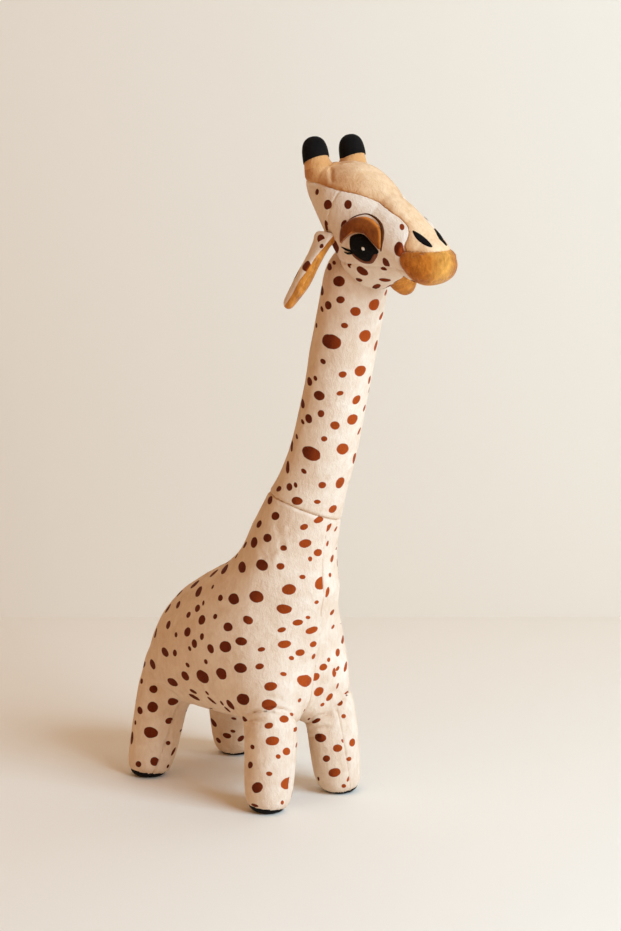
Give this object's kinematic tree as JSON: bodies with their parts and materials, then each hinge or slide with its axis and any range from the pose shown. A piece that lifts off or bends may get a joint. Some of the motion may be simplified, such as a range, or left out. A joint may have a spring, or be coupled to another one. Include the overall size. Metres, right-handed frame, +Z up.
{
  "type": "stuffed toy giraffe",
  "caption": "Standing stuffed toy giraffe in spotted plush, with a long leaning neck, caramel forehead and muzzle, padded eyelids, soft horns, drooping ears and legs that give at their seams.",
  "frame": {"origin": "on the floor, under the middle of the whole toy's box", "axes": "+X is the way the giraffe faces, +Y is its left side, +Z is up"},
  "size_m": [0.4448, 0.1692, 0.6997],
  "materials": {
    "printed_plush": "short-pile cream plush printed with rust-brown spots",
    "caramel_plush": "caramel plush with a slightly longer pile",
    "black_plush": "black short-pile plush",
    "black_patch": "black satin-stitched patch",
    "lid_plush": "brown velour",
    "lid_edge": "dark brown corded stitching",
    "filling": "white polyester fibre"
  },
  "bodies": {
    "torso": {"body_cover_right": "printed_plush", "body_cover_left": "printed_plush", "body_filling": "filling"},
    "front_right_leg": {"front_right_leg_outer": "printed_plush", "front_right_leg_inner": "printed_plush", "front_right_leg_filling": "filling", "front_right_sole": "black_plush"},
    "front_left_leg": {"front_left_leg_outer": "printed_plush", "front_left_leg_inner": "printed_plush", "front_left_leg_filling": "filling", "front_left_sole": "black_plush"},
    "rear_right_leg": {"rear_right_leg_outer": "printed_plush", "rear_right_leg_inner": "printed_plush", "rear_right_leg_filling": "filling", "rear_right_sole": "black_plush"},
    "rear_left_leg": {"rear_left_leg_outer": "printed_plush", "rear_left_leg_inner": "printed_plush", "rear_left_leg_filling": "filling", "rear_left_sole": "black_plush"},
    "neck": {"neck_cover": "printed_plush", "neck_filling": "filling"},
    "head": {"forehead_panel": "caramel_plush", "muzzle_panel": "caramel_plush", "nape_panel": "printed_plush", "chin_panel": "printed_plush", "right_cheek_panel": "printed_plush", "left_cheek_panel": "printed_plush", "head_filling": "filling", "right_horn": "caramel_plush", "left_horn": "caramel_plush", "right_horn_cap": "black_plush", "left_horn_cap": "black_plush", "right_eye": "black_patch", "left_eye": "black_patch", "right_upper_lid": "lid_plush", "left_upper_lid": "lid_plush", "right_lid_edge": "lid_edge", "left_lid_edge": "lid_edge", "right_lower_lid": "lid_edge", "left_lower_lid": "lid_edge", "right_nostril": "black_plush", "left_nostril": "black_plush"},
    "right_ear": {"right_ear_outer": "printed_plush", "right_ear_inner": "caramel_plush"},
    "left_ear": {"left_ear_outer": "printed_plush", "left_ear_inner": "caramel_plush"},
    "tail": {"tail_cover": "printed_plush", "tail_tuft": "black_plush"}
  },
  "joints": [
    {"name": "neck_bend", "type": "hinge", "parent": "torso", "child": "neck", "pos_m": [0.03592, 0, 0.352], "axis": [0, 1, 0], "range_deg": [-10, 10], "stiffness_Nm_per_rad": 6},
    {"name": "head_nod", "type": "hinge", "parent": "neck", "child": "head", "pos_m": [0.09842, 0, 0.562], "axis": [0, 1, 0], "range_deg": [-12, 12], "stiffness_Nm_per_rad": 2},
    {"name": "front_right_leg_swing", "type": "hinge", "parent": "torso", "child": "front_right_leg", "pos_m": [0.01242, -0.0395, 0.1], "axis": [0, 1, 0], "range_deg": [-10, 10], "stiffness_Nm_per_rad": 5},
    {"name": "front_left_leg_swing", "type": "hinge", "parent": "torso", "child": "front_left_leg", "pos_m": [0.01242, 0.0395, 0.1], "axis": [0, 1, 0], "range_deg": [-10, 10], "stiffness_Nm_per_rad": 5},
    {"name": "rear_right_leg_swing", "type": "hinge", "parent": "torso", "child": "rear_right_leg", "pos_m": [-0.15258, -0.0465, 0.1], "axis": [0, 1, 0], "range_deg": [-10, 10], "stiffness_Nm_per_rad": 5},
    {"name": "rear_left_leg_swing", "type": "hinge", "parent": "torso", "child": "rear_left_leg", "pos_m": [-0.15258, 0.0465, 0.1], "axis": [0, 1, 0], "range_deg": [-10, 10], "stiffness_Nm_per_rad": 5},
    {"name": "right_ear_flap", "type": "hinge", "parent": "head", "child": "right_ear", "pos_m": [0.09642, -0.04148, 0.603], "axis": [-1, 0, 0], "range_deg": [-8, 70], "stiffness_Nm_per_rad": 0.05},
    {"name": "left_ear_flap", "type": "hinge", "parent": "head", "child": "left_ear", "pos_m": [0.09642, 0.04148, 0.603], "axis": [1, 0, 0], "range_deg": [-8, 70], "stiffness_Nm_per_rad": 0.05},
    {"name": "tail_lift", "type": "hinge", "parent": "torso", "child": "tail", "pos_m": [-0.19231, 0, 0.152], "axis": [0, 1, 0], "range_deg": [0, 60], "stiffness_Nm_per_rad": 0.05}
  ]
}
